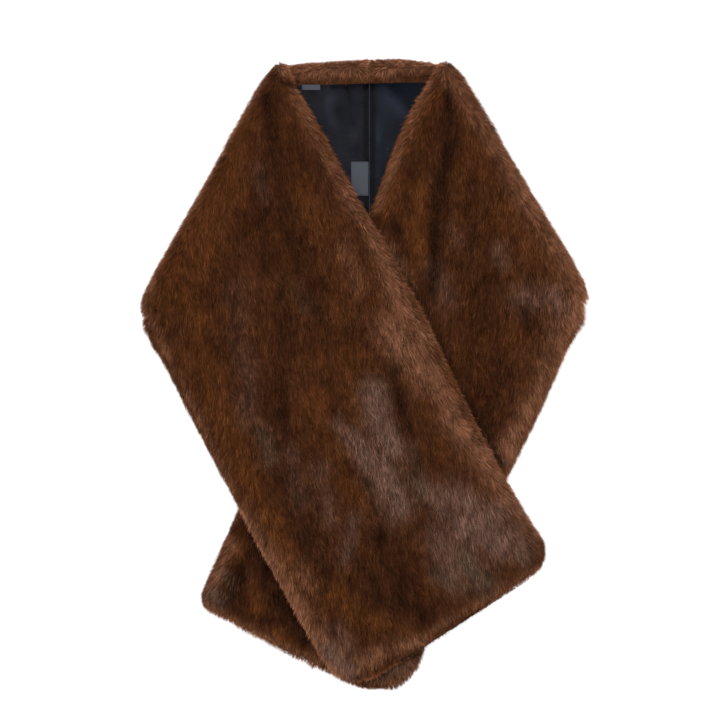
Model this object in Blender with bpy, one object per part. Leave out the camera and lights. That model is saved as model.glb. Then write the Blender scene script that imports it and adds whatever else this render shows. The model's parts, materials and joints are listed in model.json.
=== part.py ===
"""A lined fur stole laid flat: a long strip folded at both shoulders, its ends crossed below a V neck.

Metres, +Z up. It lies on z = 0 with its neck edge towards +Y, and its box is centred over the origin.
"Left" and "right" are the halves as seen from above. Each half runs from the centre back seam out to a
shoulder fold, round the fold, and down across the front. The left half crosses over the right one.
Heights and plan sizes below are in millimetres.
"""

import math

import bmesh
import bpy
import numpy as np

MILLIMETRE = 0.001

# Heights of the layers
BACK_PILE = 8.0  # pressed between the table and the fronts
FRONT_PILE = 15.0
PRESSED_PILE = 9.0  # the right front where the left front lies on it
RIM_SHARE = 0.35  # the widest point of a fur edge, as a share of the pile above the backing
LINING_THICKNESS = 1.0
SEAM_GAP = 0.3
LAYER_GAP = 1.1  # the space between two linings, where the woven label lies
LABEL_THICKNESS = 0.5

# Edges and folds
FUR_EDGE = 15.0  # how far in a fur edge is rounded
UNDER_EDGE = 6.0
HEM_TURN = 12.0  # fur turned to the lining side along every edge
NECK_TURN = 29.0  # the wide roll of fur along the back of the neck
NECK_ROLL = 7.5  # height of that roll above the backing
NECK_ROLL_FULL = 48.0  # distance from the centre back to which the roll keeps its height
NECK_ROLL_END = 86.0
TURN_RADIUS = 3.5  # of the backing round a shoulder fold
TURN_STEPS = 8
TURN_TAPER = 30.0  # distance from the hem in which the rolled fold draws in
TURN_TAPERED = 0.7  # share of its bulge left at the hem
FOLD_SETTLES = 40.0  # distance from the fold at which the front lies flat on the back
CORNER_RADII = {"left": (33.0, 54.0), "right": (17.0, 58.0)}  # of each end, at its neck and its hem edge
DRAPE_WIDTH = 60.0  # how far a panel takes to come down past the edge that holds it up
PRESS_REACH = 12.0  # how far past the left front's edge the right front's fur stays pressed
PRESS_WIDTH = 24.0
BLUNT = 0.08  # share of the thickness left at the outermost edge of an end
ROLL_TOP = 0.45  # where the turned fur is highest, at most, as a share of its width
LAYER_BLEND = 8.0  # how sharply the left front passes from one support to the next
FAR = 1e6

LINED = SEAM_GAP + LINING_THICKNESS
BACK_STACK = BACK_PILE + LINED + LAYER_GAP
FRONT_STACK = LINED + PRESSED_PILE + 0.6
SLOPE_ROOM = 2.2  # more room between the fronts where both slope down past the back's hem
SLOPE_STARTS = 0.5 * DRAPE_WIDTH
SLOPE_ENDS = 1.4 * DRAPE_WIDTH
TURN_HEIGHT = BACK_PILE + TURN_RADIUS

# Plan of the strip, a row for each section: neck edge x and y, then hem edge x and y.
# The last row of each back is its shoulder fold, from which the front's rows go on.
BACK_SECTIONS = {
    "left": ((8.2, 377, 8.2, 82), (-44, 374, -127, 81), (-90, 370, -259, 72)),
    "right": ((8.6, 377, 8.6, 82), (52, 377, 134, 86), (91, 371, 262, 88)),
}
FRONT_SECTIONS = {
    "left": (
        (-81, 344, -258, 45),
        (-53, 295, -238, 10),
        (-14, 221, -211, -44),
        (29, 149, -182, -100),
        (70, 74, -153, -153),
        (106, -1, -125, -207),
        (143, -77, -95, -260),
        (185, -151, -65, -314),
        (233, -226, -23, -390),
    ),
    "right": (
        (80, 351, 261, 60),
        (50, 294, 244, 23),
        (19, 212, 219, -35),
        (-14, 131, 191, -93),
        (-50, 52, 161, -151),
        (-87, -28, 133, -208),
        (-123, -108, 104, -266),
        (-159, -188, 77, -325),
        (-199, -278, 41, -401),
    ),
}
OUTWARDS = {"left": -1.0, "right": 1.0}

# How finely the solids are cut
BACK_STEPS = 5
FRONT_STEPS = 26
PANEL_STEPS = 11
FUR_EDGE_ANGLES = (24, 46, 68)  # degrees round the edge of the pile
ROLL_ANGLES = (35, 62, 90)  # degrees up the outer half of the turned fur
ROLL_FALLS = (0.55, 0.9, 1.0)  # shares of the way down its inner half
END_SPACING = 6.0  # least distance between a regular section and the first row below
END_ROWS = (0.0, 1.2, 4.0, 8.0, HEM_TURN - 0.5, HEM_TURN, HEM_TURN + 0.6, 18.0, 26.0, 38.0, 54.0)

# Labels on the lining, a row for each: name, middle x, middle y, width, height
LABEL_ROWS = (
    ("neck_label", -3.3, 232.8, 21.0, 41.0),
    ("care_label", -61.8, 342.6, 22.0, 6.6),
)

# Colour, roughness of each material
MATERIALS = {
    "fur": ((0.075, 0.031, 0.015), 0.75),
    "lining": ((0.021, 0.021, 0.029), 0.45),
    "label": ((0.075, 0.08, 0.1), 0.6),
}


def clear_scene():
    for thing in list(bpy.data.objects):
        bpy.data.objects.remove(thing)


def make_materials():
    made = {}
    for name, (colour, roughness) in MATERIALS.items():
        material = bpy.data.materials.new(name)
        material.use_nodes = True
        shader = material.node_tree.nodes["Principled BSDF"]
        shader.inputs["Base Color"].default_value = (*colour, 1.0)
        shader.inputs["Roughness"].default_value = roughness
        shader.inputs["Metallic"].default_value = 0.0
        made[name] = material
    return made


def ease(share):
    """0 to 1 with level ends."""
    share = min(max(share, 0.0), 1.0)
    return share * share * (3.0 - 2.0 * share)


def rounded(distance, radius):
    """Height share of a rounded edge, at this distance in from it."""
    share = min(max(distance / radius, 0.0), 1.0)
    return math.sqrt(1.0 - (1.0 - share) ** 2)


def along_sections(rows):
    """Distance from the first section to each, measured down the middle of the strip."""
    rows = np.array(rows, float)
    middles = (rows[:, :2] + rows[:, 2:]) / 2.0
    steps = np.linalg.norm(np.diff(middles, axis=0), axis=1)
    return np.concatenate([[0.0], np.cumsum(steps)])


def section_at(rows, distance):
    """The neck and hem points of a section, on smooth curves through the rows."""
    rows = np.array(rows, float)
    reached = along_sections(rows)
    slopes = np.gradient(rows, reached, axis=0)
    low = int(np.clip(np.searchsorted(reached, distance) - 1, 0, len(rows) - 2))
    span = reached[low + 1] - reached[low]
    share = (distance - reached[low]) / span
    point = (
        (1 + 2 * share) * (1 - share) ** 2 * rows[low]
        + share * (1 - share) ** 2 * span * slopes[low]
        + share**2 * (3 - 2 * share) * rows[low + 1]
        + share**2 * (share - 1) * span * slopes[low + 1]
    )
    return point[:2], point[2:]


def edges_of(rows, steps=24):
    """Points along the neck edge, and along the hem edge, of a stretch of the strip."""
    length = along_sections(rows)[-1]
    pairs = [section_at(rows, length * step / steps) for step in range(steps + 1)]
    return [neck for neck, _ in pairs], [hem for _, hem in pairs]


def front_outline(side):
    neck_side, hem_side = edges_of(FRONTS[side])
    return np.array(neck_side + hem_side[::-1])


def back_outline():
    left_neck, left_hem = edges_of(BACK_SECTIONS["left"])
    right_neck, right_hem = edges_of(BACK_SECTIONS["right"])
    return np.array(left_neck[::-1] + right_neck + right_hem[::-1] + left_hem)


def distance_outside(point, outline):
    """Distance from a plan point to an outline, and zero inside it."""
    starts = outline
    ends = np.roll(outline, -1, axis=0)
    sides = ends - starts
    away = point - starts
    length_squared = np.maximum((sides**2).sum(axis=1), 1e-9)
    along = np.clip((away * sides).sum(axis=1) / length_squared, 0.0, 1.0)
    nearest = np.linalg.norm(away - sides * along[:, None], axis=1).min()
    crosses = (starts[:, 1] > point[1]) != (ends[:, 1] > point[1])
    rise = np.where(crosses, sides[:, 1], 1.0)
    crossing_x = starts[:, 0] + (point[1] - starts[:, 1]) * sides[:, 0] / rise
    inside = (crosses & (point[0] < crossing_x)).sum() % 2 == 1
    return 0.0 if inside else float(nearest)


FRONTS = {side: (BACK_SECTIONS[side][-1], *rows) for side, rows in FRONT_SECTIONS.items()}
FRONT_OUTLINES = {side: front_outline(side) for side in FRONTS}
BACK_OUTLINE = back_outline()


def held_up(point, outline, width, reach=0.0):
    """1 over what lies inside an outline or within reach of it, easing to 0 further out."""
    return 1.0 - ease((distance_outside(point, outline) - reach) / width)


def right_front_rests_at(point):
    return BACK_STACK * held_up(point, BACK_OUTLINE, DRAPE_WIDTH)


def left_front_rests_at(point):
    """Height of the left front's underside: over the right front, over the back, or on the table."""
    on_back = right_front_rests_at(point)
    sloping = held_up(point, BACK_OUTLINE, SLOPE_ENDS) - held_up(point, BACK_OUTLINE, SLOPE_STARTS)
    on_right = on_back + FRONT_STACK + SLOPE_ROOM * sloping
    on_right *= held_up(point, FRONT_OUTLINES["right"], DRAPE_WIDTH)
    return (on_back**LAYER_BLEND + on_right**LAYER_BLEND) ** (1.0 / LAYER_BLEND)


RESTS_AT = {"left": left_front_rests_at, "right": right_front_rests_at}


class Station:
    """One section of a half: its plan ends, how far round the fold it is, and how near the strip's end."""

    def __init__(self, side, neck, hem, turned, from_back, from_fold, from_end):
        self.side = side
        self.turned = turned
        self.from_back = from_back
        self.from_fold = from_fold
        self.from_end = from_end
        across = hem - neck
        neck_inset, hem_inset = [
            radius * (1.0 - rounded(from_end, radius)) for radius in CORNER_RADII[side]
        ]
        self.width = float(np.linalg.norm(across)) - neck_inset - hem_inset
        self.across = across / np.linalg.norm(across)
        self.neck = neck + self.across * neck_inset
        self.outwards = np.array([self.across[1], -self.across[0]])
        self.outwards *= math.copysign(1.0, self.outwards[0] * OUTWARDS[side])

    def plan(self, distance):
        return self.neck + self.across * distance

    def pile(self, point):
        """Height of the fur above its backing."""
        if self.turned < math.pi:
            return BACK_PILE + (FRONT_PILE - BACK_PILE) * ease(self.turned / math.pi)
        if self.side == "left":
            return FRONT_PILE
        covered = held_up(point, FRONT_OUTLINES["left"], PRESS_WIDTH, PRESS_REACH)
        return FRONT_PILE - (FRONT_PILE - PRESSED_PILE) * covered

    def place(self, distance, offset):
        """A point this far across the section, and this far from the backing on its fur side."""
        point = self.plan(distance)
        if self.from_fold > 0.0:
            settled = ease(self.from_fold / FOLD_SETTLES)
            stands_off = TURN_HEIGHT + TURN_RADIUS - BACK_STACK - LINED
            backing = RESTS_AT[self.side](point) + LINED + stands_off * (1.0 - settled)
            return (*point, backing + offset)
        bulge = TURN_TAPERED + (1.0 - TURN_TAPERED) * ease((self.width - distance) / TURN_TAPER)
        point = point + self.outwards * bulge * (TURN_RADIUS + offset) * math.sin(self.turned)
        return (*point, TURN_HEIGHT - (TURN_RADIUS + offset) * math.cos(self.turned))

    def neck_turn(self):
        return NECK_TURN + (HEM_TURN - NECK_TURN) * ease(self.turned / math.pi)

    def lip(self, from_neck):
        """How high the turned fur stands on the lining side."""
        if not from_neck or self.turned > 0.0:
            return LINED
        fades = ease((self.from_back - NECK_ROLL_FULL) / (NECK_ROLL_END - NECK_ROLL_FULL))
        return NECK_ROLL + (LINED - NECK_ROLL) * fades

    def end_share(self, radius):
        return max(rounded(self.from_end, radius), BLUNT)


def stations_of(side):
    """The sections of one half, from the centre back to its end."""
    stations = []
    back = BACK_SECTIONS[side]
    back_length = along_sections(back)[-1]
    for step in range(BACK_STEPS + 1):
        reached = back_length * step / BACK_STEPS
        neck, hem = section_at(back, reached)
        stations.append(Station(side, neck, hem, 0.0, abs(neck[0] - back[0][0]), 0.0, FAR))
    for step in range(1, TURN_STEPS + 1):
        turned = math.pi * step / TURN_STEPS
        stations.append(Station(side, neck, hem, turned, FAR, 0.0, FAR))
    front = FRONTS[side]
    front_length = along_sections(front)[-1]
    regular = [front_length * step / FRONT_STEPS for step in range(1, FRONT_STEPS + 1)]
    reaches = [reached for reached in regular if reached < front_length - END_ROWS[-1] - END_SPACING]
    reaches += [front_length - row for row in reversed(END_ROWS)]
    for reached in reaches:
        neck, hem = section_at(front, reached)
        stations.append(Station(side, neck, hem, math.pi, FAR, reached, front_length - reached))
    return stations


def panel_distances(start, end):
    return [start + (end - start) * step / PANEL_STEPS for step in range(PANEL_STEPS + 1)]


def fur_ring(station):
    """A closed ring round the fur of one section: over the pile, then back under it."""
    width = station.width
    top_end = station.end_share(FUR_EDGE)
    under_end = station.end_share(UNDER_EDGE)
    near = [FUR_EDGE * (1 - math.cos(math.radians(angle))) for angle in FUR_EDGE_ANGLES]
    over = [0.0, *near, *panel_distances(FUR_EDGE, width - FUR_EDGE)]
    over += [width - distance for distance in reversed(near)] + [width]
    ring = []
    for distance in over:
        pile = station.pile(station.plan(distance))
        edge = rounded(min(distance, width - distance), FUR_EDGE) * top_end
        ring.append(station.place(distance, pile * (RIM_SHARE + (1 - RIM_SHARE) * edge)))

    def under(distance, from_neck):
        """The lining side of the fur, at a distance from one edge."""
        point = station.plan(distance if from_neck else width - distance)
        pile = station.pile(point)
        lip = station.lip(from_neck)
        turn = station.neck_turn() if from_neck else HEM_TURN
        roll_edge = min(turn * ROLL_TOP, UNDER_EDGE + lip)
        past = min(max((distance - roll_edge) / (turn - roll_edge), 0.0), 1.0)
        past_end = min(max((station.from_end - UNDER_EDGE) / (HEM_TURN - UNDER_EDGE), 0.0), 1.0)
        height = max(lip * math.sqrt(1 - past**2), LINED * math.sqrt(1 - past_end**2))
        edge = rounded(distance, roll_edge) * under_end
        offset = -height + (height + pile * RIM_SHARE) * (1 - edge)
        return station.place(distance if from_neck else width - distance, offset)

    def lip_distances(from_neck):
        turn = station.neck_turn() if from_neck else HEM_TURN
        roll_edge = min(turn * ROLL_TOP, UNDER_EDGE + station.lip(from_neck))
        rising = [roll_edge * (1 - math.cos(math.radians(angle))) for angle in ROLL_ANGLES]
        falling = [roll_edge + (turn - roll_edge) * share for share in ROLL_FALLS]
        return rising + falling

    ring += [under(distance, False) for distance in lip_distances(False)]
    inner = panel_distances(station.neck_turn(), width - HEM_TURN)[1:-1]
    ring += [under(distance, True) for distance in reversed(inner)]
    ring += [under(distance, True) for distance in reversed(lip_distances(True))]
    return ring


def lining_ring(station):
    """A closed ring round the lining of one section, just inside the turned fur."""
    edge_gap = 2.0 * SEAM_GAP
    start = station.neck_turn()
    end = station.width - HEM_TURN
    distances = panel_distances(start, end)
    distances[0] += edge_gap
    distances[-1] -= edge_gap
    near_face = [station.place(distance, -SEAM_GAP) for distance in distances]
    far_face = [station.place(distance, -LINED) for distance in reversed(distances)]
    return near_face + far_face


def sweep_rings(name, rings, material):
    """Bridge the rings into one closed body, with a flat cap at each end."""
    mesh = bmesh.new()
    loops = []
    for ring in rings:
        loops.append([mesh.verts.new([value * MILLIMETRE for value in point]) for point in ring])
    for first, second in zip(loops, loops[1:]):
        for index, corner in enumerate(first):
            following = (index + 1) % len(first)
            mesh.faces.new((corner, first[following], second[following], second[index]))
    mesh.faces.new(loops[0])
    mesh.faces.new(loops[-1])
    bmesh.ops.triangulate(mesh, faces=mesh.faces[:])
    bmesh.ops.recalc_face_normals(mesh, faces=mesh.faces[:])
    return add_object(name, mesh, material)


def add_object(name, mesh, material):
    data = bpy.data.meshes.new(name)
    mesh.to_mesh(data)
    mesh.free()
    data.materials.append(material)
    data.shade_smooth()
    thing = bpy.data.objects.new(name, data)
    bpy.context.scene.collection.objects.link(thing)
    return thing


def make_label(name, middle_x, middle_y, width, height, material):
    """A thin woven slip lying on the back lining."""
    mesh = bmesh.new()
    bmesh.ops.create_cube(mesh, size=MILLIMETRE)
    bmesh.ops.scale(mesh, vec=(width, height, LABEL_THICKNESS), verts=mesh.verts[:])
    middle_z = BACK_PILE + LINED + SEAM_GAP + LABEL_THICKNESS / 2.0
    place = [value * MILLIMETRE for value in (middle_x, middle_y, middle_z)]
    bmesh.ops.translate(mesh, vec=place, verts=mesh.verts[:])
    return add_object(name, mesh, material)


def centre_over_origin(things):
    """Slide everything in plan so that the origin is under the middle of the box."""
    corners = np.array([vertex.co[:] for thing in things for vertex in thing.data.vertices])
    middle = (corners.min(axis=0) + corners.max(axis=0)) / 2.0
    for thing in things:
        for vertex in thing.data.vertices:
            vertex.co.x -= middle[0]
            vertex.co.y -= middle[1]
    return middle[:2] / MILLIMETRE


def main():
    clear_scene()
    materials = make_materials()
    things = []
    for side in ("left", "right"):
        stations = stations_of(side)
        lined = [station for station in stations if station.from_end > HEM_TURN]
        fur = [fur_ring(station) for station in stations]
        lining = [lining_ring(station) for station in lined]
        things.append(sweep_rings(f"fur_{side}", fur, materials["fur"]))
        things.append(sweep_rings(f"lining_{side}", lining, materials["lining"]))
    for row in LABEL_ROWS:
        things.append(make_label(*row, materials["label"]))
    print("moved in plan by", centre_over_origin(things))


main()
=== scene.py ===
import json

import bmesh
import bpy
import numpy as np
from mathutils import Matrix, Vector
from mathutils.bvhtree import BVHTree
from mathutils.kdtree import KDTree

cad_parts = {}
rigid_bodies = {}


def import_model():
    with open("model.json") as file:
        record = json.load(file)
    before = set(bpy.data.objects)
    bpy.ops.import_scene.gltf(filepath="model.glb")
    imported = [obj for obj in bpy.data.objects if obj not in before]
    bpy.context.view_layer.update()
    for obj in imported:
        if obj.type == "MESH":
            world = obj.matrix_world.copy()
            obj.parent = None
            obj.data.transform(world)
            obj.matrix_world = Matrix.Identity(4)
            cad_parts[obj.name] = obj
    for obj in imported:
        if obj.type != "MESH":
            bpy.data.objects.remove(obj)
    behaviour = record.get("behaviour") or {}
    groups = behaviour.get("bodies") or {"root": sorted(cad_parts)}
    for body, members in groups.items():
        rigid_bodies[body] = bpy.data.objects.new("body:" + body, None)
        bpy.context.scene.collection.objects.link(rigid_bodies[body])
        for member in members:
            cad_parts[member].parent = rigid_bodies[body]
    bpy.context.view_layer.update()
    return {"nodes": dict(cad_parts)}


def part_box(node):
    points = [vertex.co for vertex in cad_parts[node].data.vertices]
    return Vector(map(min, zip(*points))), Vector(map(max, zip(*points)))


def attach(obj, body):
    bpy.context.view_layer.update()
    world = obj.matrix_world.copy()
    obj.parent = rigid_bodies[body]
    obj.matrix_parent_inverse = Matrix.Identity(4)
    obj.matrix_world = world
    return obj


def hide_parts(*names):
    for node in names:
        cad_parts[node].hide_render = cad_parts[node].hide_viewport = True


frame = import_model()

# %% [markdown]
# # A faux-fur stole, laid flat
#
# A stole is one long strip of fur with a satin lining. Here it lies on a table, folded at both shoulders, with
# its two ends crossed below a V neck. The frame gives the form of the cloth. This lesson adds what a rigid
# form can't show: the pile, the satin and the two small labels, all bare of words.
#
# Each half of the strip is its own piece of fur, joined at the centre back. "Left" and "right" are as seen
# from above. Lengths in tables are in millimetres, and meshes are in metres.

MM = 0.001
HALVES = ("left", "right")
SEAM_X = 6.97 * MM  # the centre back seam
SEAM_REACH = 0.6 * MM  # points this near to it belong to it
SEAM_GAP = 0.02 * MM  # and are drawn to this far from it, on their own side

# %% [markdown]
# ## Camera
#
# The picture was taken from straight above, with very little perspective, so the camera hangs four metres up
# and looks down a long lens. Up in the picture is +Y.

# %% Camera
CAMERA_HEIGHT = 4.0
FIELD_WIDTH = 0.864  # metres across the picture, at the height of the pile
PILE_HEIGHT = 0.015
SENSOR = 36.0
view_centre = Vector((-4.4 * MM, 16.9 * MM, CAMERA_HEIGHT))

camera_data = bpy.data.cameras.new("overhead_camera")
camera_data.sensor_width = SENSOR
camera_data.lens = SENSOR * (CAMERA_HEIGHT - PILE_HEIGHT) / FIELD_WIDTH
camera = bpy.data.objects.new("overhead_camera", camera_data)
camera.location = view_centre
bpy.context.scene.collection.objects.link(camera)
bpy.context.scene.camera = camera
print("lens:", round(camera_data.lens, 1), "mm")

# %% [markdown]
# ## Helpers for materials
#
# Every material here is made of nodes. These few functions keep the node work short, so that each material
# below reads like a recipe.

# %% Material helpers
def new_material(name, roughness, **constants):
    """A material with one Principled shader, whose constants are set on its own sockets."""
    material = bpy.data.materials.new(name)
    material.use_nodes = True
    shader = material.node_tree.nodes["Principled BSDF"]
    shader.inputs["Roughness"].default_value = roughness
    for socket, value in constants.items():
        shader.inputs[socket.replace("_", " ")].default_value = value
    return material, material.node_tree, shader


def node(tree, kind, inputs=(), **settings):
    """A node with its settings, and its inputs linked to sockets or set to values."""
    made = tree.nodes.new(kind)
    for name, value in settings.items():
        setattr(made, name, value)
    for key, value in dict(inputs).items():
        if isinstance(value, bpy.types.NodeSocket):
            tree.links.new(value, made.inputs[key])
        else:
            made.inputs[key].default_value = value
    return made


def maths(tree, operation, *values):
    return node(tree, "ShaderNodeMath", dict(enumerate(values)), operation=operation).outputs[0]


def blend_colours(tree, share, first, second, kind="MIX"):
    """Two colours mixed; each is a socket or an RGB triple."""
    made = node(tree, "ShaderNodeMix", data_type="RGBA", blend_type=kind)
    for key, value in ((0, share), (6, first), (7, second)):
        if isinstance(value, bpy.types.NodeSocket):
            tree.links.new(value, made.inputs[key])
        else:
            made.inputs[key].default_value = (*value, 1.0) if key else value
    return made.outputs[2]


def ramp(tree, value, stops):
    """A colour ramp through (place, RGB) stops."""
    made = node(tree, "ShaderNodeValToRGB", {0: value})
    points = made.color_ramp.elements
    while len(points) < len(stops):
        points.new(0.5)
    for point, (place, colour) in zip(points, stops):
        point.position = place
        point.color = (*colour, 1.0)
    return made.outputs[0]


def attribute(tree, name):
    return node(tree, "ShaderNodeAttribute", attribute_name=name)


# %% [markdown]
# ## Floor and light
#
# The stole lies on a white table that glows a little, as a photographer's light table does, so that its shadow
# stays faint. The light is soft: a white sky all round and one broad lamp above. The pile is shaped by small
# shadows between its hairs, and not by one hard lamp.

# %% Floor and lights
FLOOR_SIZE = 8.0
TABLE_GLOW = 0.4
SKY_STRENGTH = 1.12
LAMP_SIZE, LAMP_WATTS = 1.6, 20.0
LAMP_PLACE = (-0.35, 0.8, 2.4)

white, _, white_shader = new_material(
    "white_table", 0.9, Base_Color=(0.93, 0.93, 0.93, 1.0), Emission_Strength=TABLE_GLOW)
white_shader.inputs["Emission Color"].default_value = (1.0, 1.0, 1.0, 1.0)

floor_mesh = bpy.data.meshes.new("table_top")
floor_form = bmesh.new()
bmesh.ops.create_grid(floor_form, x_segments=2, y_segments=2, size=FLOOR_SIZE / 2)
floor_form.to_mesh(floor_mesh)
floor_form.free()
floor_mesh.materials.append(white)
floor = bpy.data.objects.new("table_top", floor_mesh)
bpy.context.scene.collection.objects.link(floor)

sky = bpy.data.worlds.new("white_sky")
sky.use_nodes = True
sky.node_tree.nodes["Background"].inputs[0].default_value = (1.0, 1.0, 1.0, 1.0)
sky.node_tree.nodes["Background"].inputs[1].default_value = SKY_STRENGTH
bpy.context.scene.world = sky

lamp_data = bpy.data.lights.new("broad_lamp", "AREA")
lamp_data.size = LAMP_SIZE
lamp_data.energy = LAMP_WATTS
lamp = bpy.data.objects.new("broad_lamp", lamp_data)
lamp.location = LAMP_PLACE
lamp.rotation_euler = (-lamp.location).to_track_quat("-Z", "Y").to_euler()
bpy.context.scene.collection.objects.link(lamp)

bpy.context.scene.view_settings.view_transform = "Standard"
print("floor", FLOOR_SIZE, "m across, lamp", lamp_data.energy, "W")

# %% [markdown]
# ## Where the cloth lies
#
# A furrier feels with a finger where one layer lies on another. Here a tree of each cloth's faces does that: a
# short ray from any spot tells whether a layer covers it, and a ray inwards tells how thick the fur is there.
# A tree answers hundreds of thousands of such questions in seconds, which a search of every face could not.

# %% Trees for finding the nearest cloth
def merged_copy(name):
    """A bmesh of a frame node, with its loose triangles joined."""
    form = bmesh.new()
    form.from_mesh(frame["nodes"][name].data)
    bmesh.ops.remove_doubles(form, verts=form.verts, dist=1e-6)
    form.normal_update()
    return form


fur_forms = {half: merged_copy("fur_" + half) for half in HALVES}
fur_trees = {half: BVHTree.FromBMesh(form) for half, form in fur_forms.items()}
lining_trees = {half: BVHTree.FromBMesh(merged_copy("lining_" + half)) for half in HALVES}
all_trees = [*fur_trees.values(), *lining_trees.values()]


def covered(place, outwards, reach=3.5 * MM):
    """True where another layer lies on this spot."""
    start = place + outwards * (0.15 * MM)
    return any(tree.ray_cast(start, outwards, reach)[0] is not None for tree in all_trees)


def thickness(tree, place, outwards, most=30 * MM):
    """How much fur lies below this spot of the surface."""
    hit = tree.ray_cast(place - outwards * (0.05 * MM), -outwards, most)
    return most if hit[0] is None else hit[3]


for half, form in fur_forms.items():
    print(half, len(form.verts), "points,", len(form.faces), "faces")

# %% [markdown]
# ## The cloth under the pile
#
# The frame's fur solids reach as far as the hair does. The woven backing and the dense, short underfur lie
# deeper. They could be left out under so much hair, but then the table would shine through. So the first piece
# of each half is a copy of the solid, drawn in by a few millimetres. Where the lining covers it nothing needs
# to move, and where the fur is thin it moves less. It is dark, because hardly any light comes down to it.

# %% Underfur pieces
UNDERFUR_DEPTH = 4.2 * MM
THIN_SHARE = 0.3
LINING_REACH = 2.0 * MM


def at_seam(point):
    return abs(point.co.x - SEAM_X) < SEAM_REACH


def seam_side(half):
    """Where the edge of this half meets the centre back seam."""
    return SEAM_X + (SEAM_GAP if half == "right" else -SEAM_GAP)


def finish_piece(form, name, material):
    """A bmesh made an object that rides on the part."""
    mesh = bpy.data.meshes.new(name)
    form.to_mesh(mesh)
    form.free()
    mesh.materials.append(material)
    mesh.polygons.foreach_set("use_smooth", [True] * len(mesh.polygons))
    made = bpy.data.objects.new(name, mesh)
    bpy.context.scene.collection.objects.link(made)
    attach(made, "root")
    return made


underfur, underfur_tree, underfur_shader = new_material("underfur", 0.9, Specular_IOR_Level=0.2)
place = node(underfur_tree, "ShaderNodeTexCoord").outputs["Object"]
fluff = node(underfur_tree, "ShaderNodeTexNoise", {"Vector": place, "Scale": 450.0, "Detail": 4.0})
underfur_tree.links.new(
    ramp(underfur_tree, fluff.outputs[0], ((0.3, (0.045, 0.016, 0.006)), (0.7, (0.095, 0.034, 0.013)))),
    underfur_shader.inputs["Base Color"],
)
bump = node(underfur_tree, "ShaderNodeBump", {"Strength": 0.8, "Distance": 0.002, "Height": fluff.outputs[0]})
underfur_tree.links.new(bump.outputs[0], underfur_shader.inputs["Normal"])

for half in HALVES:
    form = fur_forms[half].copy()
    moves = []
    for point in form.verts:
        deep = min(UNDERFUR_DEPTH, THIN_SHARE * thickness(fur_trees[half], point.co, point.normal))
        lined = lining_trees[half].find_nearest(point.co, LINING_REACH)[0] is not None
        target = point.co - point.normal * (0.0 if lined else deep)
        if at_seam(point):
            target.x = seam_side(half)
        moves.append((point, target))
    for point, target in moves:
        point.co = target
    piece = finish_piece(form, "underfur_" + half, underfur)
    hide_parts("fur_" + half)
    print(piece.name, len(piece.data.polygons), "faces")

# %% [markdown]
# ## How the pile lies
#
# The hair is about a centimetre and a half long. It doesn't stand up: it is combed down the picture, and it
# fans out over every edge. It lies in small tufts, no wider than a matchstick, that catch the light in turn.
# So each hair needs to know four things about its root: how far the nearest edge is, which way that edge
# faces, which tuft it belongs to, and which soft patch of colour it grows in.
#
# Two helpers serve all of that: soft noise, for what no one places by hand, and brush strokes, for what is
# placed one by one.

# %% Soft noise and brush strokes
NOISE_CELLS = 61  # after so many cells along each side, the noise repeats


def soft_noise(points, size, seed):
    """Smooth values from -1 to 1, which change over about this many metres."""
    cells = np.random.default_rng(seed).uniform(-1.0, 1.0, (NOISE_CELLS,) * 3)
    spot = points / size + 500.0
    low = np.floor(spot).astype(int)
    share = spot - low
    share = share * share * (3.0 - 2.0 * share)
    total = np.zeros(len(points))
    for corner in np.ndindex(2, 2, 2):
        weight = np.prod(np.where(corner, share, 1.0 - share), axis=1)
        i, j, k = ((low + corner) % NOISE_CELLS).T
        total += weight * cells[i, j, k]
    return total


def brushed(points, strokes):
    """How strongly these points are painted by strokes of x, y to x, y, radius and strength."""
    best = np.zeros(len(points))
    for ax, ay, bx, by, radius, strength in strokes:
        start = np.array((ax, ay)) * MM
        along = np.array((bx - ax, by - ay)) * MM
        share = np.clip((points[:, :2] - start) @ along / (along @ along), 0.0, 1.0)
        away = np.linalg.norm(points[:, :2] - start - share[:, None] * along, axis=1)
        best = np.maximum(best, strength * np.exp(-((away / (radius * MM)) ** 2)))
    return best
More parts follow.
